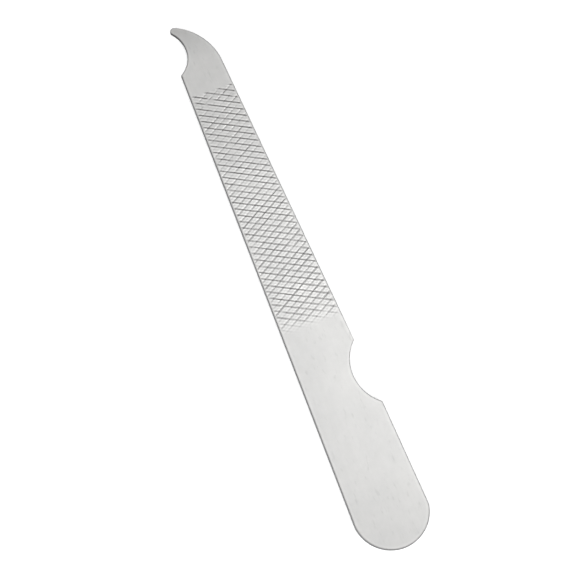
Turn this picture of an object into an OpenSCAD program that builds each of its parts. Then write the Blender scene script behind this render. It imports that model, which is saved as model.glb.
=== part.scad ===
// Small hooked hand file: one flat blank of plated steel
// with a claw at the narrow end, a finger notch, a plain round handle and a field of
// crossed file grooves pressed into both faces.
//
// The blank lies flat on z = 0. +Y points to the claw and +X to the notched edge.
// The origin is the centre of the blank's bounding box, on its lower face.

/* [Blank] */
// Distance of the neck, where the claw starts, from the handle end
neck_y = 155.19; // [150:0.01:175]
// Thickness of the steel
thickness = 1.5; // [1:0.1:3]
// Width that the two tapering edges would have at the handle end
root_w = 23.46; // [22:0.02:26]
// Width at the neck
neck_w = 13.26; // [12:0.02:16]

/* [Handle] */
// Radius of the round handle end
end_r = 11.23; // [10.8:0.01:11.6]
// Sideways shift of the round end's centre from the taper's centre line
end_shift = -0.18; // [-0.3:0.02:0.3]
// How far the notched edge has drawn in at the handle end
handle_relief = 0.76; // [0:0.02:1]

/* [Finger notch] */
// Distance of the notch's centre from the handle end
notch_y = 51.2; // [45:0.1:60]
// Radius of the notch
notch_r = 12.85; // [10:0.05:15]
// Depth of the notch from the edge
notch_depth = 4.64; // [4.4:0.02:6]
// Radius that rounds the notch's corner on the handle side
notch_corner_r = 0.8; // [0.4:0.1:1.5]

/* [Claw] */
// Radius of the claw's outer curve
claw_outer_r = 16.9; // [16:0.1:18.5]
// Radius of the claw's inner curve
claw_inner_r = 8.8; // [8.2:0.05:9]
// Distance of the inner curve's centre from the taper's centre line
claw_inner_x = 11.04; // [10.8:0.02:11.4]
// Distance of the inner curve's centre beyond the neck
claw_inner_y = 7.36; // [7:0.02:8]
// Radius of the rounded tip
claw_tip_r = 1.09; // [0.8:0.01:1.4]

/* [File field] */
// Distance of the field's lower end from the handle end
file_start = 68.6; // [66:0.1:74]
// Length of the field
file_len = 79; // [40:1:80]
// Smooth border between the grooves and the edges
file_border = 0.4; // [0.3:0.1:2]
// Spacing of the grooves, square to their length
groove_pitch = 1.841; // [1.6:0.001:3]
// Angle between the grooves and the long axis
groove_angle = 61.2; // [50:0.1:70]
// Where the set that falls to the right first crosses the centre line, above the field's end
falling_shift = 1.83; // [0:0.01:2]
// Where the set that rises to the right first crosses the centre line, above the field's end
rising_shift = 1.4; // [0:0.01:2]
// Width of a falling groove at the surface, which is twice its depth
falling_w = 0.36; // [0.2:0.02:0.5]
// Width of a rising groove at the surface, which is twice its depth
rising_w = 0.3; // [0.2:0.02:0.5]

/* [Hidden] */
$fn = 96;

// Taper: half the width lost for each millimetre of length
taper = (root_w - neck_w) / 2 / neck_y;
function half_w(y) = root_w / 2 - taper * y;

// Round handle end
end_centre = [end_shift, end_r];

// Where the line x = at_0 + slope * y leaves the round end, below its centre, or passes
// nearest to it when the end is the narrower of the two
function end_meets(at_0, slope) =
    let (a = 1 + slope * slope)
    let (b = slope * (at_0 - end_centre[0]) - end_centre[1])
    let (c = pow(at_0 - end_centre[0], 2) + pow(end_centre[1], 2) - end_r * end_r)
    let (y = (-b - sqrt(max(0, b * b - a * c))) / a)
    at_0 + slope * y;

// The notched edge from the handle end to the notch
handle_edge_0 = root_w / 2 - handle_relief;
handle_slope = (half_w(notch_y) - handle_edge_0) / notch_y;
left_most = end_meets(-root_w / 2, taper);
right_most = end_meets(handle_edge_0, handle_slope);
middle_x = (left_most + right_most) / 2;

// Finger notch, and the circle that rounds its lower corner
notch_centre = [half_w(notch_y) - notch_depth + notch_r, notch_y];
corner_x = handle_edge_0 + handle_slope * (notch_y - notch_r * 0.8) - notch_corner_r;
corner_reach = notch_r + notch_corner_r;
corner_centre = [
    corner_x,
    notch_y - sqrt(pow(corner_reach, 2) - pow(notch_centre[0] - corner_x, 2))
];
corner_on_notch = corner_centre + (notch_centre - corner_centre) * notch_corner_r / corner_reach;

// Claw: the outer curve leaves the edge without a kink
edge_normal = [1, taper] / norm([1, taper]);
outer_centre = [neck_w / 2, neck_y] - claw_outer_r * edge_normal;
inner_centre = [-claw_inner_x, neck_y + claw_inner_y];

// The rounded tip touches both curves
tip_to_outer = claw_outer_r - claw_tip_r;
tip_to_inner = claw_inner_r + claw_tip_r;
centres_apart = norm(inner_centre - outer_centre);
centres_dir = (inner_centre - outer_centre) / centres_apart;
tip_along = (pow(tip_to_outer, 2) - pow(tip_to_inner, 2) + pow(centres_apart, 2)) / (2 * centres_apart);
tip_aside = sqrt(pow(tip_to_outer, 2) - pow(tip_along, 2));
tip_centre = outer_centre + tip_along * centres_dir + tip_aside * [centres_dir[1], -centres_dir[0]];
overall_len = tip_centre[1] + claw_tip_r;

// Grooves: the spacing of one set along the long axis, and where the field ends
groove_step = groove_pitch / sin(groove_angle);
file_end = file_start + file_len;
above = 0.1;
shortest_groove = 1.2;

// The tapering plate before anything is cut, up to a height well over the claw
module tapered_plate() {
    polygon([
        [-root_w / 2, 0],
        [handle_edge_0, 0],
        [half_w(notch_y), notch_y],
        [half_w(neck_y), neck_y],
        [half_w(neck_y), overall_len + 5],
        [-half_w(neck_y), overall_len + 5],
        [-half_w(neck_y), neck_y]
    ]);
}

// Everything that the round end leaves standing
module end_limit() {
    translate(end_centre) circle(r = end_r);
    translate([-root_w, end_r]) square([2 * root_w, overall_len]);
}

// Everything that the claw's outer curve leaves standing
module claw_limit() {
    translate(outer_centre) circle(r = claw_outer_r);
    translate([-root_w, -root_w]) square([2 * root_w, neck_y + root_w]);
}

// The horn that the two curves would leave beyond the rounded tip
module claw_horn() {
    outer_dir = (tip_centre - outer_centre) / norm(tip_centre - outer_centre);
    inner_dir = (tip_centre - inner_centre) / norm(tip_centre - inner_centre);
    beyond = 4 * claw_tip_r;
    polygon([
        tip_centre,
        tip_centre + outer_dir * beyond,
        tip_centre + outer_dir * beyond + [-3 * beyond, 0],
        tip_centre - inner_dir * claw_tip_r + [-3 * beyond, 0],
        tip_centre - inner_dir * claw_tip_r
    ]);
}

// The sharp corner that the notch's lower rounding takes the place of
module notch_sharp_corner() {
    polygon([
        corner_centre,
        corner_centre + [2 * notch_corner_r, 0],
        corner_centre + [2 * notch_corner_r, 3 * notch_corner_r],
        corner_on_notch
    ]);
}

// Outline of the blank
module outline() {
    difference() {
        intersection() {
            tapered_plate();
            end_limit();
            claw_limit();
        }
        translate(inner_centre) circle(r = claw_inner_r);
        translate(notch_centre) circle(r = notch_r);
        claw_horn();
        notch_sharp_corner();
    }
    translate(tip_centre) circle(r = claw_tip_r);
    translate(corner_centre) circle(r = notch_corner_r);
}

// One V groove along +X from its start, cut down from z = 0 with walls at 45 degrees
module groove(len, width) {
    depth = width / 2;
    spread = depth + above;
    rotate([90, 0, 90]) linear_extrude(len)
        polygon([[-spread, above], [0, -depth], [spread, above]]);
}

// One set of parallel grooves on the upper face, falling (lean 1) or rising (lean -1) to the right
module groove_set(lean, shift, width) {
    dir = [lean * sin(groove_angle), -cos(groove_angle)];
    reach = ceil(root_w / groove_step);
    count = ceil(file_len / groove_step);
    for (i = [-reach : count + reach]) {
        start = [0, file_start + shift + i * groove_step];
        // Travel along the groove at which it meets each border of the field
        to_left = (-half_w(start[1]) + file_border) / (dir[0] - taper * dir[1]);
        to_right = (half_w(start[1]) - file_border) / (dir[0] + taper * dir[1]);
        to_low = (file_start - start[1]) / dir[1];
        to_high = (file_end - start[1]) / dir[1];
        first = max(min(to_left, to_right), min(to_low, to_high));
        last = min(max(to_left, to_right), max(to_low, to_high));
        if (last - first > shortest_groove)
            translate([start[0] + dir[0] * first, start[1] + dir[1] * first, thickness])
                rotate([0, 0, atan2(dir[1], dir[0])]) groove(last - first, width);
    }
}

// Both crossed sets on the upper face
module upper_grooves() {
    groove_set(1, falling_shift, falling_w);
    groove_set(-1, rising_shift, rising_w);
}

// The whole tool: one stamped, pressed and plated piece
module file_blade() {
    color("silver") translate([-middle_x, -overall_len / 2, 0]) difference() {
        linear_extrude(thickness) outline();
        upper_grooves();
        translate([0, 0, thickness]) mirror([0, 0, 1]) upper_grooves();
    }
}

file_blade();
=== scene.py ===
"""The looks of a small hooked hand file: one flat, stamped and plated steel piece.

The blank's outline is built from the same few dimensions as the solid model, in
millimetres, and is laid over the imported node. Its faces are meshed so that every
groove of the file field is real geometry, with worn shoulders and an uneven depth.
"""
import math
import random

import bmesh
import bpy
from mathutils import Matrix, Vector, noise
from mathutils.kdtree import KDTree


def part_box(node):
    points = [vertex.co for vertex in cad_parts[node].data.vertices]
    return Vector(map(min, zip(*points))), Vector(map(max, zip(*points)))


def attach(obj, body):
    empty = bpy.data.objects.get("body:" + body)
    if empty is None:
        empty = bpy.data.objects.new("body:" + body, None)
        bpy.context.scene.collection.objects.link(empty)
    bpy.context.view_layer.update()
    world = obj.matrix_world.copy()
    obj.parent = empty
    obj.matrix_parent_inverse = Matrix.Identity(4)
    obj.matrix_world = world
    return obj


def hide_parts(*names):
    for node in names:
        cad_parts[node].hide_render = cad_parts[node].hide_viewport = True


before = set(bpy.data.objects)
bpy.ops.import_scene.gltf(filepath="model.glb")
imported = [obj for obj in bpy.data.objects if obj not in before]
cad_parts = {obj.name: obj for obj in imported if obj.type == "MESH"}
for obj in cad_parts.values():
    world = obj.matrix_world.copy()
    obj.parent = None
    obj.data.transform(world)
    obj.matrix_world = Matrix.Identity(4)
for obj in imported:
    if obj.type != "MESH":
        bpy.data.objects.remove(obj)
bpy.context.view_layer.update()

MM = 0.001
NODE = "file_blade"

# Blank, in millimetres, from the handle end and the taper's centre line
THICKNESS = 1.5
NECK_Y = 155.19
ROOT_W = 23.46
NECK_W = 13.26
END_R = 11.23
END_SHIFT = -0.18
HANDLE_RELIEF = 0.76

# Finger notch
NOTCH_Y = 51.2
NOTCH_R = 12.85
NOTCH_DEPTH = 4.64
NOTCH_CORNER_R = 0.8

# Claw
CLAW_OUTER_R = 16.9
CLAW_INNER_R = 8.8
CLAW_INNER_X = 11.04
CLAW_INNER_Y = 7.36
CLAW_TIP_R = 1.09

# File field
FIELD_LOW = 68.6
FIELD_HIGH = 147.6
FIELD_BORDER = 0.4
GROOVE_PITCH = 1.841
GROOVE_ANGLE = math.radians(61.2)
FALLING_SHIFT = 1.83
RISING_SHIFT = 1.4

# A groove: distances from its centre line, the lips beside it, its depths, and how far it strays
GROOVE_FLOOR = 0.05
GROOVE_HALF_W = 0.17
LIP_CREST = 0.50
LIP_FOOT = 0.84
LIP_H = 0.009
FALLING_DEPTH = 0.16
RISING_DEPTH = 0.13
WOBBLE = 0.05

# How the grooves run out at the field's borders
SIDE_FADE = 0.25
HIGH_FADE = 0.4
HIGH_RAGGED = 0.4
LOW_FADE = 3.2
LOW_REACH = 0.6
LOW_RAGGED = 0.5
LOW_SHARE = 0.72
LOW_SHARE_LEN = 11

# How fully the grooves are cut, as shares of their depth: level, changes, and uneven parts
FALLING_LEVEL = 0.64
FALLING_GAIN = 0.20
FALLING_OWN = 0.16
FALLING_DASHES = 0.30
RISING_LEVEL = 0.52
RISING_GAIN = 0.09
RISING_LOSS = 0.21
RISING_OWN = 0.20
RISING_DASHES = 0.50
RISING_LEAST = 0.04
PATCHES = 0.24
WORN_LEAST = 0.08

# Stretches of the field over which that changes, from its lower end
FALLING_GAIN_AT = (15, 65)
RISING_GAIN_AT = (0, 27)
FAR_AT = (39, 73)
BROKEN_AT = (70, 79)

# Gaps in the falling grooves: the noise that opens them, and how much is missing
GAP_LEVEL = -0.45
GAP_FADE = 0.25
GAP_MORE_AT_CLAW = 0.18
GAP_LOSS = 0.3
GAP_LOSS_AT_CLAW = 0.65

# Towards the claw the lips are lower and the whole field is duller
FALLING_LIP_LOSS = 0.2
RISING_LIP_LOSS = 0.8
FIELD_DULL = 0.12
FIELD_DULL_GAIN = 0.6

# Places in the noise, one for each use, and the seeds of the grooves' own strengths
RAGGED_SEED = 7.0
GAP_SEED = 273.0
DASH_SEED = 31.0
SHEAR_SEED = 3.0
WOBBLE_SEEDS = (20.0, 40.0)
OWN_STRIDE = 7919
FALLING_SEED = 9
RISING_SEED = 5

# Stamped edges
EDGE_R = 0.3
EDGE_STEPS = 4
EDGE_INSETS = (0.45, 0.7, 1.0, 1.5)
EDGE_FAR = 2.0
SHEAR_DEPTH = 0.02

# The sheared wall: rows as shares of the thickness, and how its top blends into the plate
WALL_ROWS = (0.7, 0.5, 0.3)
TORN_FADE = 0.16

# Painted shade lifted from the edge and the wall above the notch
SHADE_LIFT_R = 5.5
SHADE_LIFT_COVER = 0.8
SHADE_LIFT_RIM = 0.3

# Painted shade on the wall: in the claw's hollow, from its centre, and on the straight edge, from the
# neck
HOLLOW_Y = (-4, 2)
HOLLOW_X = (-1.5, 2.5)
HOLLOW_RIM = 0.2
STRAIGHT_SHADE = 0.65
STRAIGHT_SHADE_Y = (-75, -15)

# Rungs of the mesh: STEP in millimetres along an edge, TURN in degrees along an arc
KINK_STEP = 0.6
HANDLE_STEP = 1.6
BELOW_FIELD_STEP = 1.4
FIELD_STEP = 0.7
NECK_STEP = 1.0
END_TURN = 2.5
CORNER_TURN = 10
NOTCH_TURN = 1.5
HOLLOW_TURN = 2.2
TIP_TURN = 8
TIP_TOP_TURN = 6

# The rest of the mesh
COLUMNS = 10
NEAR_SHARE = 0.07
LATTICE_PAST_END = 0.9
LATTICE_PAST_SIDE = 1.1
SAME_PLACE = 0.004
OUTLINE_STEP = 0.15
SHARP_DEGREES = 34
SIZE_TOLERANCE = 0.1
HALVINGS = 60


def half_w(y):
    """Half the width of the tapering blank at y."""
    return ROOT_W / 2 - TAPER * y


def handle_edge(y):
    """The notched edge between the handle end and the notch."""
    return HANDLE_EDGE_0 + HANDLE_SLOPE * y


def on_circle(centre, radius, y, side):
    """x at height y on a circle, on its right (side 1) or left (side -1)."""
    dy = y - centre.y
    return centre.x + side * math.sqrt(max(radius * radius - dy * dy, 0.0))


def line_leaves_end(at_0, slope):
    """y at which the line x = at_0 + slope * y leaves the round handle end."""
    a = 1 + slope * slope
    b = slope * (at_0 - END_CENTRE.x) - END_CENTRE.y
    c = (at_0 - END_CENTRE.x) ** 2 + END_CENTRE.y ** 2 - END_R ** 2
    return (-b - math.sqrt(b * b - a * c)) / a


TAPER = (ROOT_W - NECK_W) / 2 / NECK_Y
END_CENTRE = Vector((END_SHIFT, END_R))
HANDLE_EDGE_0 = ROOT_W / 2 - HANDLE_RELIEF
HANDLE_SLOPE = (half_w(NOTCH_Y) - HANDLE_EDGE_0) / NOTCH_Y
LEFT_KINK_Y = line_leaves_end(-ROOT_W / 2, TAPER)
RIGHT_KINK_Y = line_leaves_end(HANDLE_EDGE_0, HANDLE_SLOPE)

NOTCH_CENTRE = Vector((half_w(NOTCH_Y) - NOTCH_DEPTH + NOTCH_R, NOTCH_Y))
CORNER_X = handle_edge(NOTCH_Y - NOTCH_R * 0.8) - NOTCH_CORNER_R
CORNER_REACH = NOTCH_R + NOTCH_CORNER_R
CORNER_DROP = math.sqrt(CORNER_REACH ** 2 - (NOTCH_CENTRE.x - CORNER_X) ** 2)
CORNER_CENTRE = Vector((CORNER_X, NOTCH_Y - CORNER_DROP))
CORNER_END_Y = CORNER_CENTRE.y + CORNER_DROP * NOTCH_CORNER_R / CORNER_REACH

EDGE_NORMAL = Vector((1, TAPER)).normalized()
OUTER_CENTRE = Vector((NECK_W / 2, NECK_Y)) - CLAW_OUTER_R * EDGE_NORMAL
INNER_CENTRE = Vector((-CLAW_INNER_X, NECK_Y + CLAW_INNER_Y))


def tip_circle():
    """Centre of the rounded tip, which touches both curves of the claw."""
    to_outer = CLAW_OUTER_R - CLAW_TIP_R
    to_inner = CLAW_INNER_R + CLAW_TIP_R
    apart = (INNER_CENTRE - OUTER_CENTRE).length
    along = (to_outer ** 2 - to_inner ** 2 + apart ** 2) / (2 * apart)
    aside = math.sqrt(to_outer ** 2 - along ** 2)
    unit = (INNER_CENTRE - OUTER_CENTRE) / apart
    return OUTER_CENTRE + along * unit + aside * Vector((unit.y, -unit.x))


TIP_CENTRE = tip_circle()
TIP_ON_OUTER_Y = (TIP_CENTRE + (TIP_CENTRE - OUTER_CENTRE).normalized() * CLAW_TIP_R).y
TIP_ON_INNER_Y = (TIP_CENTRE - (TIP_CENTRE - INNER_CENTRE).normalized() * CLAW_TIP_R).y
TOTAL_LEN = TIP_CENTRE.y + CLAW_TIP_R


def crossing(low, high, gap):
    """y between low and high at which gap(y) changes sign."""
    rising = gap(high) > gap(low)
    for _ in range(HALVINGS):
        mid = (low + high) / 2
        if (gap(mid) > 0) == rising:
            high = mid
        else:
            low = mid
    return low


NOTCH_TOP_Y = crossing(
    NOTCH_Y, NOTCH_Y + NOTCH_R, lambda y: on_circle(NOTCH_CENTRE, NOTCH_R, y, -1) - half_w(y)
)
CUSP_Y = crossing(
    NECK_Y - 2,
    NECK_Y + 3,
    lambda y: on_circle(INNER_CENTRE, CLAW_INNER_R, y, 1) + half_w(min(y, NECK_Y)),
)


def right_x(y):
    """The notched edge and the back of the claw."""
    if y < RIGHT_KINK_Y:
        return on_circle(END_CENTRE, END_R, y, 1)
    if y < CORNER_CENTRE.y:
        return handle_edge(y)
    if y < CORNER_END_Y:
        return on_circle(CORNER_CENTRE, NOTCH_CORNER_R, y, 1)
    if y < NOTCH_TOP_Y:
        return on_circle(NOTCH_CENTRE, NOTCH_R, y, -1)
    if y < NECK_Y:
        return half_w(y)
    if y < TIP_ON_OUTER_Y:
        return on_circle(OUTER_CENTRE, CLAW_OUTER_R, y, 1)
    return on_circle(TIP_CENTRE, CLAW_TIP_R, y, 1)


def left_x(y):
    """The straight edge and the hollow of the claw."""
    if y < LEFT_KINK_Y:
        return on_circle(END_CENTRE, END_R, y, -1)
    if y < CUSP_Y:
        return -half_w(min(y, NECK_Y))
    if y < TIP_ON_INNER_Y:
        return on_circle(INNER_CENTRE, CLAW_INNER_R, y, 1)
    return on_circle(TIP_CENTRE, CLAW_TIP_R, y, -1)


def even(low, high, step):
    """Heights from low up to but not including high, about step apart."""
    count = max(1, round((high - low) / step))
    return [low + (high - low) * i / count for i in range(count)]


def along_arc(low, high, centre_y, radius, degrees):
    """Heights from low up to but not including high, even along an arc."""
    start = math.asin(max(-1.0, (low - centre_y) / radius))
    stop = math.asin(min(1.0, (high - centre_y) / radius))
    count = max(1, round(math.degrees(stop - start) / degrees))
    turns = [start + (stop - start) * i / count for i in range(1, count)]
    return [low] + [centre_y + radius * math.sin(a) for a in turns]


def stations():
    """Heights of the rungs that join the two edges, from above the handle end to below the tip."""
    found = along_arc(0, RIGHT_KINK_Y, END_CENTRE.y, END_R, END_TURN)[1:]
    found += even(RIGHT_KINK_Y, LEFT_KINK_Y, KINK_STEP)
    found += even(LEFT_KINK_Y, CORNER_CENTRE.y, HANDLE_STEP)
    found += along_arc(CORNER_CENTRE.y, CORNER_END_Y, CORNER_CENTRE.y, NOTCH_CORNER_R, CORNER_TURN)
    found += along_arc(CORNER_END_Y, NOTCH_TOP_Y, NOTCH_Y, NOTCH_R, NOTCH_TURN)
    found += even(NOTCH_TOP_Y, FIELD_LOW, BELOW_FIELD_STEP)
    found += even(FIELD_LOW, FIELD_HIGH, FIELD_STEP)
    found += even(FIELD_HIGH, CUSP_Y, NECK_STEP)
    found += along_arc(CUSP_Y, TIP_ON_INNER_Y, INNER_CENTRE.y, CLAW_INNER_R, HOLLOW_TURN)
    found += along_arc(TIP_ON_INNER_Y, TIP_ON_OUTER_Y, TIP_CENTRE.y, CLAW_TIP_R, TIP_TURN)
    found += along_arc(TIP_ON_OUTER_Y, TOTAL_LEN, TIP_CENTRE.y, CLAW_TIP_R, TIP_TOP_TURN)
    return found


def noise_at(x, y, z):
    """Smooth noise around 0 at a place given by three numbers."""
    return noise.noise(Vector((x, y, z)))


def sheared(point, normal):
    """An edge point, moved a little along its normal in the notch and in the claw's hollow."""
    on_notch = CORNER_END_Y < point.y < NOTCH_TOP_Y and point.x > 0
    in_claw = CUSP_Y < point.y < TIP_ON_INNER_Y and point.x < 0
    if not (on_notch or in_claw):
        return point
    return point + normal * SHEAR_DEPTH * noise_at(point.x * 1.7, point.y * 1.7, SHEAR_SEED)


def edge_loop(heights):
    """Edge points and outward normals, from the handle end up the right side and down the left."""
    right = [Vector((right_x(y), y)) for y in heights]
    left = [Vector((left_x(y), y)) for y in heights]
    loop = [Vector((END_CENTRE.x, 0.0))] + right + [Vector((TIP_CENTRE.x, TOTAL_LEN))] + left[::-1]
    normals = []
    for i, point in enumerate(loop):
        before = (point - loop[i - 1]).normalized()
        after = (loop[(i + 1) % len(loop)] - point).normalized()
        mitre = Vector((before.y, -before.x)) + Vector((after.y, -after.x))
        normals.append(mitre * 2 / mitre.length_squared)
    return [sheared(p, n) for p, n in zip(loop, normals)], normals


# ---------------------------------------------------------------- file field

FALLING_N = Vector((math.cos(GROOVE_ANGLE), math.sin(GROOVE_ANGLE)))
RISING_N = Vector((-math.cos(GROOVE_ANGLE), math.sin(GROOVE_ANGLE)))
FALLING_0 = (FIELD_LOW + FALLING_SHIFT) * math.sin(GROOVE_ANGLE)
RISING_0 = (FIELD_LOW + RISING_SHIFT) * math.sin(GROOVE_ANGLE)


def smooth(low, high, value):
    """0 below low, 1 above high, smooth between."""
    t = min(1.0, max(0.0, (value - low) / (high - low)))
    return t * t * (3 - 2 * t)


def along_field(point, stretch):
    """0 below a stretch of the field and 1 above it."""
    return smooth(FIELD_LOW + stretch[0], FIELD_LOW + stretch[1], point.y)


def groove_number(point, normal, first):
    """(number of the nearest groove, distance from its centre line)."""
    along = (point.dot(normal) - first) / GROOVE_PITCH
    number = round(along)
    return number, (along - number) * GROOVE_PITCH


def own_share(number, seed):
    """A groove's own even random value from 0 to 1."""
    return random.Random(number * OWN_STRIDE + seed).random()


def border_fade(point):
    """1 inside the field, falling to 0 at its borders, raggedly at the two ends."""
    side = half_w(point.y) - FIELD_BORDER - abs(point.x)
    ragged = 0.5 + 0.5 * noise_at(point.x * 0.9, 0.0, RAGGED_SEED)
    low = smooth(-LOW_REACH, LOW_FADE, point.y - FIELD_LOW - LOW_RAGGED * ragged)
    low *= LOW_SHARE + (1 - LOW_SHARE) * along_field(point, (0, LOW_SHARE_LEN))
    high = smooth(0.0, HIGH_FADE, FIELD_HIGH - point.y - HIGH_RAGGED * ragged)
    return smooth(0.0, SIDE_FADE, side) * low * high


def falling_strength(point, number):
    """How fully a falling groove is cut at a point, from 0 to about 1: broken up near the claw."""
    near_claw = along_field(point, BROKEN_AT)
    level = FALLING_LEVEL + FALLING_GAIN * along_field(point, FALLING_GAIN_AT)
    own = (own_share(number, FALLING_SEED) - 0.5) * FALLING_OWN
    patches = PATCHES * noise_at(point.x * 0.30, point.y * 0.22, number * 0.35)
    dashes = FALLING_DASHES * near_claw * noise_at(point.x * 1.5, number * 1.3, DASH_SEED)
    gap_at = GAP_LEVEL + GAP_MORE_AT_CLAW * near_claw
    gaps = 1 - smooth(gap_at, gap_at + GAP_FADE, noise_at(point.x * 0.8, number * 3.7, GAP_SEED))
    loss = GAP_LOSS + GAP_LOSS_AT_CLAW * near_claw
    return (level + own + patches + dashes) * (1 - gaps * loss)


def towards_claw(point):
    """0 over the handle half of the field, rising to 1 near its end at the claw."""
    return along_field(point, FAR_AT)


def rising_strength(point, number):
    """How fully a rising groove is cut: uneven, and fainter towards the claw."""
    far = towards_claw(point)
    gain = RISING_GAIN * along_field(point, RISING_GAIN_AT)
    own = (own_share(number, RISING_SEED) - 0.5) * RISING_OWN
    patches = PATCHES * noise_at(point.x * 0.30, point.y * 0.20, number * 1.9)
    dashes = RISING_DASHES * far * noise_at(point.x * 1.3, point.y * 0.9, number * 2.3)
    return max(RISING_LEAST, RISING_LEVEL + gain - RISING_LOSS * far + own + patches + dashes)


def groove_profile(distance):
    """Depth share across a groove: 1 on its floor, 0 past its shoulders."""
    return 1 - smooth(GROOVE_FLOOR, GROOVE_HALF_W, abs(distance))


def lip_profile(distance):
    """Height share of the metal that the cut pushed up beside a groove."""
    away = abs(distance)
    return smooth(GROOVE_HALF_W, LIP_CREST, away) * (1 - smooth(LIP_CREST, LIP_FOOT, away))


def relief(point):
    """(height over the plain face, groove share), both 0 outside the field.

    The share falls to -2 where two lips meet, and is 1 on a full groove's floor and 2 where two
    cross. A weak groove is shallower than its share.
    """
    fade = border_fade(point)
    if fade == 0:
        return 0.0, 0.0
    far = towards_claw(point)
    shares, lip_shares, depths = [], [], []
    for normal, first, strength, depth, lip_loss in (
        (FALLING_N, FALLING_0, falling_strength, FALLING_DEPTH, FALLING_LIP_LOSS),
        (RISING_N, RISING_0, rising_strength, RISING_DEPTH, RISING_LIP_LOSS),
    ):
        number, distance = groove_number(point, normal, first)
        amount = strength(point, number) * fade
        worn = WORN_LEAST + (1 - WORN_LEAST) * smooth(0.25, 0.8, amount)
        shares.append(groove_profile(distance) * amount)
        lip_shares.append(lip_profile(distance) * amount * (1 - lip_loss * far))
        depths.append(shares[-1] * depth * worn)
    share = sum(shares)
    lips = sum(lip_shares) * max(0.0, 1 - share)
    dull = FIELD_DULL * (1 + FIELD_DULL_GAIN * far) * fade
    return lips * LIP_H - max(depths), share - lips + dull


def field_corners():
    """The field's corners, counter-clockwise from the lower left."""
    low, high = half_w(FIELD_LOW) - FIELD_BORDER, half_w(FIELD_HIGH) - FIELD_BORDER
    return [
        Vector((-low, FIELD_LOW)),
        Vector((low, FIELD_LOW)),
        Vector((high, FIELD_HIGH)),
        Vector((-high, FIELD_HIGH)),
    ]


def line_places(normal, first):
    """Places of one set's mesh lines, square to the grooves, over the whole field."""
    reach = [corner.dot(normal) for corner in field_corners()]
    start = math.floor((min(reach) - first) / GROOVE_PITCH) - 1
    stop = math.ceil((max(reach) - first) / GROOVE_PITCH) + 1
    across = (-LIP_FOOT, -LIP_CREST, -GROOVE_HALF_W, -GROOVE_FLOOR)
    offsets = across + tuple(-a for a in across[::-1]) + (GROOVE_PITCH / 2,)
    return [first + k * GROOVE_PITCH + o for k in range(start, stop + 1) for o in offsets]


def lattice_patch():
    """A flat mesh of the field, its lines along the grooves, trimmed to the field's corners."""
    falling, rising = line_places(FALLING_N, FALLING_0), line_places(RISING_N, RISING_0)
    bm = bmesh.new()

    def crossing_place(i, j):
        x = (falling[i] - rising[j]) / (2 * FALLING_N.x)
        y = (falling[i] + rising[j]) / (2 * FALLING_N.y)
        return x, y

    def near_field(x, y):
        along = FIELD_LOW - LATTICE_PAST_END < y < FIELD_HIGH + LATTICE_PAST_END
        return along and abs(x) < half_w(y) + LATTICE_PAST_SIDE

    made = {}
    for i in range(len(falling) - 1):
        for j in range(len(rising) - 1):
            keys = ((i, j), (i + 1, j), (i + 1, j + 1), (i, j + 1))
            places = [crossing_place(*k) for k in keys]
            if not any(near_field(x, y) for x, y in places):
                continue
            for key, (x, y) in zip(keys, places):
                if key not in made:
                    made[key] = bm.verts.new((x, y, 0))
            bm.faces.new([made[k] for k in keys])
    corners = field_corners()
    for i, corner in enumerate(corners):
        side = corners[(i + 1) % 4] - corner
        bmesh.ops.bisect_plane(
            bm,
            geom=bm.verts[:] + bm.edges[:] + bm.faces[:],
            dist=SAME_PLACE,
            plane_co=(corner.x, corner.y, 0),
            plane_no=(side.y, -side.x, 0),
            clear_outer=True,
        )
    return bm


def border_chains(bm):
    """The patch's border vertices as four chains, one per side of the field, counter-clockwise."""
    corners = field_corners()
    edges = {e for e in bm.edges if len(e.link_faces) == 1}
    first = min((v for e in edges for v in e.verts), key=lambda v: (v.co.xy - corners[0]).length)
    ring, here, seen = [first], first, set()
    while len(seen) < len(edges):
        ways = [e for e in here.link_edges if e in edges and e not in seen]
        way = max(ways, key=lambda e: e.other_vert(first).co.x) if here is first else ways[0]
        seen.add(way)
        here = way.other_vert(here)
        ring.append(here)
    at = [min(range(len(ring)), key=lambda i: (ring[i].co.xy - c).length) for c in corners[1:]]
    ends = [0] + at + [len(ring) - 1]
    return [ring[ends[i] : ends[i + 1] + 1] for i in range(4)]


# ---------------------------------------------------------------- face and body mesh


class Sheet:
    """Vertices (x, y, z, groove share) and faces of one face of the blank."""

    def __init__(self):
        self.points = []
        self.faces = []

    def add(self, x, y, z=0.0, share=0.0):
        """A new vertex, as its index."""
        self.points.append((x, y, z, share))
        return len(self.points) - 1

    def zip(self, lower, upper, key):
        """Triangles between two chains of indices that run the same way."""
        i = j = 0
        while i < len(lower) - 1 or j < len(upper) - 1:
            step_lower = i < len(lower) - 1 and (
                j == len(upper) - 1 or key(self.points[lower[i + 1]]) <= key(self.points[upper[j + 1]])
            )
            if step_lower:
                self.faces.append((lower[i], lower[i + 1], upper[j]))
                i += 1
            else:
                self.faces.append((lower[i], upper[j + 1], upper[j]))
                j += 1


def wobble(point, amount):
    """A point of the field moved slightly in its plane, so that no groove is quite straight."""
    away = Vector(noise_at(point.x * 0.8, point.y * 0.8, seed) for seed in WOBBLE_SEEDS)
    return point + away * amount


def add_field(sheet):
    """Adds the file field and returns its four border chains as indices."""
    bm = lattice_patch()
    chains = border_chains(bm)
    border = {v for chain in chains for v in chain}
    index = {}
    for v in bm.verts:
        place = v.co.xy
        height, share = relief(place)
        if v in border:
            height, share = 0.0, 0.0
        else:
            place = wobble(place, WOBBLE * border_fade(place))
        index[v] = sheet.add(place.x, place.y, height, share)
    for f in bm.faces:
        sheet.faces.append(tuple(index[v] for v in f.verts))
    found = [[index[v] for v in chain] for chain in chains]
    bm.free()
    return found


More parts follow.
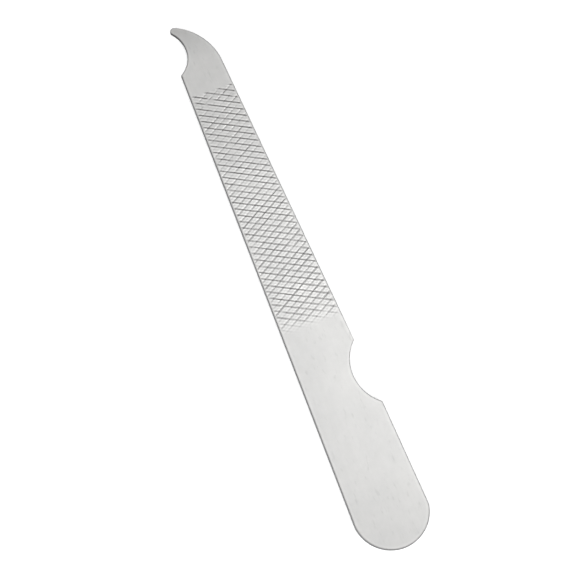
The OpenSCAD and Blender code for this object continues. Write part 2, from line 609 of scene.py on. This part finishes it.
def rung(sheet, left, right):
    """A row of vertices from one inset edge point to the other, closer together near the edges."""
    width = right.x - left.x
    near = [
        min((inset - EDGE_R) / width, NEAR_SHARE * (k + 1)) for k, inset in enumerate(EDGE_INSETS)
    ]
    shares = [0.0] + near
    shares += [near[-1] + (1 - 2 * near[-1]) * i / COLUMNS for i in range(1, COLUMNS)]
    shares += [1 - s for s in near[::-1]] + [1.0]
    return [sheet.add(*left.lerp(right, s)) for s in shares]


def face_sheet(heights, inset):
    """One face of the blank at z = 0: rungs on the plain areas and the lattice on the field."""
    sheet = Sheet()
    n = len(heights)
    right, left = inset[1 : n + 1], inset[n + 2 :][::-1]
    low = heights.index(FIELD_LOW)
    high = heights.index(FIELD_HIGH)
    ring = {0: sheet.add(*inset[0]), n + 1: sheet.add(*inset[n + 1])}
    rows = {}
    for i in range(n):
        if low <= i <= high:
            rows[i] = [sheet.add(*left[i]), sheet.add(*right[i])]
        else:
            rows[i] = rung(sheet, left[i], right[i])
        ring[i + 1] = rows[i][-1]
        ring[2 * n + 1 - i] = rows[i][0]
    for i in range(n - 1):
        if i in range(low - 1, high + 1):
            continue
        for a, b, c, d in zip(rows[i], rows[i][1:], rows[i + 1][1:], rows[i + 1]):
            sheet.faces.append((a, b, c, d))
    for k in range(len(rows[0]) - 1):
        sheet.faces.append((ring[0], rows[0][k + 1], rows[0][k]))
        sheet.faces.append((ring[n + 1], rows[n - 1][k], rows[n - 1][k + 1]))
    bottom, right_side, top, left_side = add_field(sheet)
    top, left_side = top[::-1], left_side[::-1]
    by_x, by_y = (lambda p: p[0]), (lambda p: p[1])
    below, above = rows[low - 1], rows[high + 1]
    sheet.zip(below[1:-1], bottom, by_x)
    sheet.zip(top, above[1:-1], by_x)
    right_ring = [rows[i][-1] for i in range(low - 1, high + 2)]
    left_ring = [rows[i][0] for i in range(low - 1, high + 2)]
    right_inner = [below[-2]] + right_side + [above[-2]]
    left_inner = [below[1]] + left_side + [above[1]]
    sheet.zip(right_ring, right_inner, by_y)
    sheet.zip(left_inner, left_ring, by_y)
    return sheet, [ring[i] for i in range(2 * n + 2)]


def in_hollow(point):
    """1 along the upper hollow of the claw and on the left of its tip, 0 elsewhere."""
    return smooth(*HOLLOW_Y, point.y - INNER_CENTRE.y) * (1 - smooth(*HOLLOW_X, point.x))


def wall_shade(point):
    """How much painted shade darkens the sheared wall: 1 in the claw's hollow, less on the straight edge
    below.
    """
    near_claw = smooth(*STRAIGHT_SHADE_Y, point.y - NECK_Y) if point.x < 0 else 0.0
    return max(in_hollow(point), STRAIGHT_SHADE * near_claw)


def shade_lifted(point):
    """How far the painted dark edge line and the dark wall are lightened near the notch's upper corner,
    from 0 to 1.
    """
    corner = Vector((half_w(NOTCH_TOP_Y), NOTCH_TOP_Y))
    return math.exp(-(((point - corner).length / SHADE_LIFT_R) ** 2))


def bright_rim(point):
    """How much narrower the painted dark line along the edge is at a point."""
    return SHADE_LIFT_RIM * shade_lifted(point) + HOLLOW_RIM * in_hollow(point)


def edge_finder(loop):
    """A search tree of closely spaced points along the outline."""
    points = []
    for i, point in enumerate(loop):
        after = loop[(i + 1) % len(loop)]
        steps = max(1, math.ceil((after - point).length / OUTLINE_STEP))
        points += [point.lerp(after, k / steps) for k in range(steps)]
    tree = KDTree(len(points))
    for i, point in enumerate(points):
        tree.insert(point.to_3d(), i)
    tree.balance()
    return tree


def blade_mesh():
    """The closed blank: two faces, rounded edges and a sheared wall.

    Each vertex knows its groove share, its distance from the edge, and on the wall how torn the
    steel is, with painted shadow on the lower rounding, and how much painted shade darkens it.
    """
    heights = stations()
    loop, normals = edge_loop(heights)
    inset = [p - n * EDGE_R for p, n in zip(loop, normals)]
    sheet, ring = face_sheet(heights, inset)
    bm = bmesh.new()
    share_layer = bm.verts.layers.float.new("groove")
    edge_layer = bm.verts.layers.float.new("edge")
    wall_layer = bm.verts.layers.float.new("wall")
    near_edge = edge_finder(loop)
    away_from_edge = [
        min(EDGE_FAR, near_edge.find(Vector((x, y, 0)))[2] + bright_rim(Vector((x, y))))
        for x, y, _, _ in sheet.points
    ]

    def face_of_blank(level, sign):
        """The sheet at a level, facing up (sign 1) or down (sign -1); returns its outer ring."""
        verts = []
        for (x, y, z, share), away in zip(sheet.points, away_from_edge):
            v = bm.verts.new((x, y, level + sign * z))
            v[share_layer] = share
            v[edge_layer] = away
            verts.append(v)
        for f in sheet.faces:
            bm.faces.new([verts[i] for i in (f if sign > 0 else f[::-1])])
        return [verts[i] for i in ring]

    upper = face_of_blank(THICKNESS, 1)
    lower = face_of_blank(0.0, -1)
    turns = [math.pi / 2 * i / EDGE_STEPS for i in range(EDGE_STEPS + 1)]
    rounding = [(EDGE_R * (1 - math.cos(t)), EDGE_R * (1 - math.sin(t))) for t in turns]
    profile = [(away, THICKNESS - level) for away, level in rounding[::-1]]
    profile += [(0.0, THICKNESS * share) for share in WALL_ROWS]
    profile += rounding
    rings = [upper]
    for away, level in profile[1:-1]:
        row = [bm.verts.new((*(p - n * away), level)) for p, n in zip(loop, normals)]
        for v, point in zip(row, loop):
            v[edge_layer] = away + bright_rim(point)
            # the lower half and its rounding take the wall's dark colour in full: torn steel, and
            # painted shadow
            torn_and_shadowed = 1 if level < THICKNESS / 2 else 1 - smooth(0.0, TORN_FADE, away)
            v[wall_layer] = torn_and_shadowed * (1 + wall_shade(point)) * (1 - SHADE_LIFT_COVER * shade_lifted(point))
        rings.append(row)
    rings.append(lower)
    for above, under in zip(rings, rings[1:]):
        for i in range(len(loop)):
            j = (i + 1) % len(loop)
            bm.faces.new((above[i], under[i], under[j], above[j]))
    bmesh.ops.recalc_face_normals(bm, faces=bm.faces)
    return bm


def blade_object():
    """The visible blade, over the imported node."""
    bm = blade_mesh()
    low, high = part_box(NODE)
    size = [max(v.co[k] for v in bm.verts) - min(v.co[k] for v in bm.verts) for k in range(3)]
    corner = Vector([min(v.co[k] for v in bm.verts) for k in range(3)]) * MM
    spare = Vector([high[k] - low[k] - size[k] * MM for k in range(3)]) / 2
    if max(abs(s) for s in spare) > SIZE_TOLERANCE * MM:
        raise ValueError(f"the outline and the packed node differ in size by {spare}")
    bmesh.ops.scale(bm, vec=(MM, MM, MM), verts=bm.verts)
    bmesh.ops.translate(bm, vec=Vector(low) + spare - corner, verts=bm.verts)
    mesh = bpy.data.meshes.new("blade")
    bm.to_mesh(mesh)
    bm.free()
    mesh.shade_smooth()
    mesh.set_sharp_from_angle(angle=math.radians(SHARP_DEGREES))
    blade = bpy.data.objects.new("plated_blade", mesh)
    bpy.context.scene.collection.objects.link(blade)
    return blade


# ---------------------------------------------------------------- materials

# Noise of the steel and the floor, in features per metre
BRUSHING_NOISE = 9000
SHEARING_NOISE = 4500
SPECK_NOISE = 1100
STREAK_NOISE = 900
MOTTLE_NOISE = 420
CLOUD_NOISE = 55
FLOOR_NOISE = 300

# Places along Y in the frame, in metres, between which painted shade darkens the claw's tip
TIP_SHADE_START = 0.064
TIP_SHADE_END = 0.086
# Depth of the brushing and the specks, in metres
BUMP_DEPTH = 0.00002

# The plate's tone over the groove share, from -2 to 2: painted highlight on the lips, painted shade on
# the floors
GROOVE_TONES = [
    (0.0, 1.66),
    (0.5, 1.0),
    (0.53, 0.965),
    (0.60, 0.87),
    (0.75, (0.515, 0.500, 0.508)),
    (0.93, (0.105, 0.098, 0.102)),
]
# The plate's tone from the very edge inwards: a dark line of painted shade, then a line of painted
# highlight
EDGE_TONES = [(0.0, 0.38), (0.055, 0.52), (0.15, 0.94), (0.25, 1.06), (0.38, 1.06), (0.55, 1.0)]


class Tree:
    """A short way to write a node tree."""

    def __init__(self, tree):
        self.tree = tree

    def link(self, value, socket):
        """Feeds one node's output into another's input."""
        self.tree.links.new(value, socket)

    def add(self, kind, sockets=None, **settings):
        """A node with its settings; sockets maps an input to a value or to another node's output."""
        node = self.tree.nodes.new(kind)
        for name, value in settings.items():
            setattr(node, name, value)
        for name, value in (sockets or {}).items():
            if isinstance(value, bpy.types.NodeSocket):
                self.link(value, node.inputs[name])
            else:
                node.inputs[name].default_value = value
        return node

    def ramp(self, value, stops):
        """A colour ramp with (place, grey or colour) stops."""
        node = self.add("ShaderNodeValToRGB", {"Fac": value})
        while len(node.color_ramp.elements) < len(stops):
            node.color_ramp.elements.new(0.5)
        for element, (place, colour) in zip(node.color_ramp.elements, stops):
            element.position = place
            grey = isinstance(colour, (int, float))
            element.color = (colour, colour, colour, 1) if grey else (*colour, 1)
        return node.outputs["Color"]

    def ranged(self, value, from_low, from_high, to_low, to_high):
        """A value mapped from one range to another."""
        limits = {"From Min": from_low, "From Max": from_high, "To Min": to_low, "To Max": to_high}
        return self.add("ShaderNodeMapRange", {"Value": value, **limits}).outputs["Result"]

    def math(self, operation, a, b):
        """A sum, product or other value of two values."""
        return self.add("ShaderNodeMath", {0: a, 1: b}, operation=operation).outputs["Value"]

    def mixed(self, factor, a, b, blend="MIX"):
        """Colour a where factor is 0 and b, or a blended with b, where it is 1."""
        sockets = {"Factor": factor, 6: a, 7: b}
        return self.add("ShaderNodeMix", sockets, data_type="RGBA", blend_type=blend).outputs[2]

    def multiply(self, a, b):
        """Two colours multiplied."""
        return self.mixed(1.0, a, b, "MULTIPLY")

    def noise(self, place, scale, detail, rough):
        """Noise from 0 to 1 at these coordinates."""
        sockets = {"Vector": place, "Scale": scale, "Detail": detail, "Roughness": rough}
        return self.add("ShaderNodeTexNoise", sockets).outputs[0]

    def stretched(self, place, scale):
        """Coordinates scaled along each axis."""
        return self.add("ShaderNodeMapping", {"Vector": place, "Scale": scale}).outputs["Vector"]

    def layer(self, name):
        """A value that the mesh keeps at each vertex."""
        return self.add("ShaderNodeAttribute", attribute_name=name).outputs["Fac"]

    def object_place(self):
        """Coordinates on the object, in metres."""
        return self.add("ShaderNodeTexCoord").outputs["Object"]


def new_material(name):
    """A material, its node tree and its shader."""
    material = bpy.data.materials.new(name)
    material.use_nodes = True
    return material, Tree(material.node_tree), material.node_tree.nodes["Principled BSDF"]


def plate_colour(tree, place, streaks, specks):
    """The plate: cloudy, mottled, streaked, specked, with painted shade in the grooves, along the edge
    and at the tip, and painted highlights on the lips and inside the edge.
    """
    along = tree.add("ShaderNodeSeparateXYZ", {0: place}).outputs["Y"]
    plate = tree.ramp(
        tree.noise(place, CLOUD_NOISE, 4, 0.55),
        [(0.3, (0.456, 0.455, 0.450)), (0.7, (0.486, 0.483, 0.475))],
    )
    for value, stops in (
        (tree.noise(place, MOTTLE_NOISE, 3, 0.6), [(0.3, 0.975), (0.7, 1.025)]),
        (streaks, [(0.35, 0.975), (0.6, 1.0)]),
        (specks, [(0.26, 0.9), (0.38, 1.0)]),
        # painted shade on the groove floors, painted highlight on their lips
        (tree.ranged(tree.layer("groove"), -2, 2, 0, 1), GROOVE_TONES),
        # painted shade along the rounded edge, painted highlight just inside it
        (tree.ranged(tree.layer("edge"), 0, EDGE_FAR, 0, 1), EDGE_TONES),
        # painted shade darkening the claw's tip
        (tree.ranged(along, TIP_SHADE_START, TIP_SHADE_END, 0, 1), [(0.4, 1.0), (1.0, 0.78)]),
    ):
        plate = tree.multiply(plate, tree.ramp(value, stops))
    return plate


def wall_colour(tree, place):
    """The sheared wall: dark steel partly of painted shade, with upright marks, darkest where the wall's
    value is 2.
    """
    marks = tree.noise(tree.stretched(place, (1.0, 1.0, 0.12)), SHEARING_NOISE, 3, 0.6)
    # dark steel of the sheared wall, its darkness partly painted shade
    bare_and_shaded = tree.ramp(marks, [(0.3, (0.09, 0.09, 0.093)), (0.7, (0.17, 0.17, 0.174))])
    shade = tree.ramp(tree.ranged(tree.layer("wall"), 1, 2, 0, 1), [(0.0, 1.0), (1.0, 0.25)])
    return tree.multiply(bare_and_shaded, shade)


def plated_steel():
    """Satin nickel over brushed steel, rougher in the grooves and on the sheared wall."""
    material, tree, shader = new_material("plated_steel")
    place = tree.object_place()
    brushing = tree.noise(tree.stretched(place, (1.0, 0.03, 1.0)), BRUSHING_NOISE, 4, 0.6)
    streaks = tree.noise(tree.stretched(place, (1.0, 0.12, 1.0)), STREAK_NOISE, 3, 0.6)
    specks = tree.noise(tree.stretched(place, (1.0, 0.3, 1.0)), SPECK_NOISE, 2, 0.5)
    groove, wall = tree.layer("groove"), tree.layer("wall")

    plate = plate_colour(tree, place, streaks, specks)
    covered = tree.ranged(wall, 0, 1, 0, 1)
    colour = tree.mixed(covered, plate, wall_colour(tree, place))
    tree.link(colour, shader.inputs["Base Color"])

    rough = tree.ranged(streaks, 0.3, 0.7, 0.325, 0.355)
    rough = tree.math("ADD", rough, tree.ranged(groove, 0, 1, 0, 0.25))
    rough = tree.math("ADD", rough, tree.ranged(wall, 0, 1, 0, 0.3))
    tree.link(rough, shader.inputs["Roughness"])
    tree.link(tree.ranged(wall, 0, 1, 1, 0.15), shader.inputs["Metallic"])
    shader.inputs["Specular IOR Level"].default_value = 0.15

    height = tree.math("MULTIPLY", brushing, 0.6)
    height = tree.math("ADD", height, tree.math("MULTIPLY", specks, 0.4))
    bump = tree.add("ShaderNodeBump", {"Height": height, "Strength": 0.25, "Distance": BUMP_DEPTH})
    tree.link(bump.outputs["Normal"], shader.inputs["Normal"])
    return material


def floor_paint():
    """Matt white studio floor with the faintest grain."""
    material, tree, shader = new_material("studio_floor")
    grain = tree.noise(tree.object_place(), FLOOR_NOISE, 2, 0.5)
    tree.link(tree.ramp(grain, [(0.3, 0.93), (0.7, 0.95)]), shader.inputs["Base Color"])
    shader.inputs["Roughness"].default_value = 0.9
    shader.inputs["Specular IOR Level"].default_value = 0.1
    return material


# ---------------------------------------------------------------- studio

# In metres; a light's value is its radiance
FLOOR_SIZE = 6.0
FLOOR_GAP = 0.00002
SURROUND = 1.02
LIGHTS_UP = 0.9
MIRRORED_BOX = 2.1
MIRRORED_PLACE = (0.36, 0.14)
MIRRORED_SIZE = (0.50, 0.26)
SIDE_BOX = 5.5
SIDE_PLACES = {"left_box": (-1.0, -0.5), "right_box": (0.6, -1.1)}
SIDE_SIZE = (0.9, 0.9)
AIM = Vector((-0.00188, -0.00282, 0.0015))
VIEW_DISTANCE = 0.5670
VIEW_AZIMUTH = math.radians(35.05)
VIEW_ELEVATION = math.radians(73.92)
VIEW_ROLL = math.radians(13.04)
SENSOR_MM = 36.0
LENS_MM = 121.875


def studio_floor():
    """A wide plain floor under the blade."""
    bm = bmesh.new()
    bmesh.ops.create_grid(bm, x_segments=8, y_segments=8, size=FLOOR_SIZE / 2)
    mesh = bpy.data.meshes.new("studio_floor")
    bm.to_mesh(mesh)
    bm.free()
    mesh.materials.append(floor_paint())
    floor = bpy.data.objects.new("studio_floor", mesh)
    floor.location.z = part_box(NODE)[0].z - FLOOR_GAP
    bpy.context.scene.collection.objects.link(floor)


def soft_light(name, place, size, radiance, aim=(0, 0)):
    """A soft box over place, of size (wide, high), that points at aim on the floor."""
    data = bpy.data.lights.new(name, "AREA")
    data.shape = "RECTANGLE"
    data.size, data.size_y = size
    data.energy = radiance * math.pi * size[0] * size[1]
    light = bpy.data.objects.new(name, data)
    light.location = (*place, LIGHTS_UP)
    towards = Vector((*aim, 0)) - Vector((*place, LIGHTS_UP))
    light.rotation_euler = towards.to_track_quat("-Z", "Y").to_euler()
    bpy.context.scene.collection.objects.link(light)
    return light


def surround():
    """A pale surround that darkens near the horizon, as a light tent's opening does."""
    world = bpy.data.worlds.new("surround")
    world.use_nodes = True
    tree = Tree(world.node_tree)
    way = tree.add("ShaderNodeTexCoord").outputs["Generated"]
    height = tree.add("ShaderNodeSeparateXYZ", {0: way}).outputs["Z"]
    glow = tree.ramp(height, [(0.15, 0.42), (0.55, 1.0)])
    background = world.node_tree.nodes["Background"]
    tree.link(glow, background.inputs["Color"])
    background.inputs["Strength"].default_value = SURROUND
    bpy.context.scene.world = world


def studio_lights():
    """A soft box that the plate mirrors, and two that it doesn't, for the floor and the wall."""
    soft_light("mirrored_box", MIRRORED_PLACE, MIRRORED_SIZE, MIRRORED_BOX, aim=MIRRORED_PLACE)
    for name, place in SIDE_PLACES.items():
        box = soft_light(name, place, SIDE_SIZE, SIDE_BOX)
        box.visible_glossy = False
    surround()


def camera():
    """The camera, looking down on the blade from its left and its handle end."""
    data = bpy.data.cameras.new("camera")
    data.lens = LENS_MM
    data.sensor_width = SENSOR_MM
    data.clip_start = 0.01
    flat = math.cos(VIEW_ELEVATION)
    forward = Vector(
        (flat * math.sin(VIEW_AZIMUTH), flat * math.cos(VIEW_AZIMUTH), -math.sin(VIEW_ELEVATION))
    )
    moved = Matrix.Translation(AIM - forward * VIEW_DISTANCE)
    turned = forward.to_track_quat("-Z", "Y").to_matrix().to_4x4()
    rolled = Matrix.Rotation(VIEW_ROLL, 4, "Z")
    eye = bpy.data.objects.new("camera", data)
    eye.matrix_world = moved @ turned @ rolled
    bpy.context.scene.collection.objects.link(eye)
    bpy.context.scene.camera = eye


camera()
studio_floor()
studio_lights()
blade = blade_object()
blade.data.materials.append(plated_steel())
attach(blade, "root")
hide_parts(NODE)
bpy.context.scene.view_settings.view_transform = "Standard"
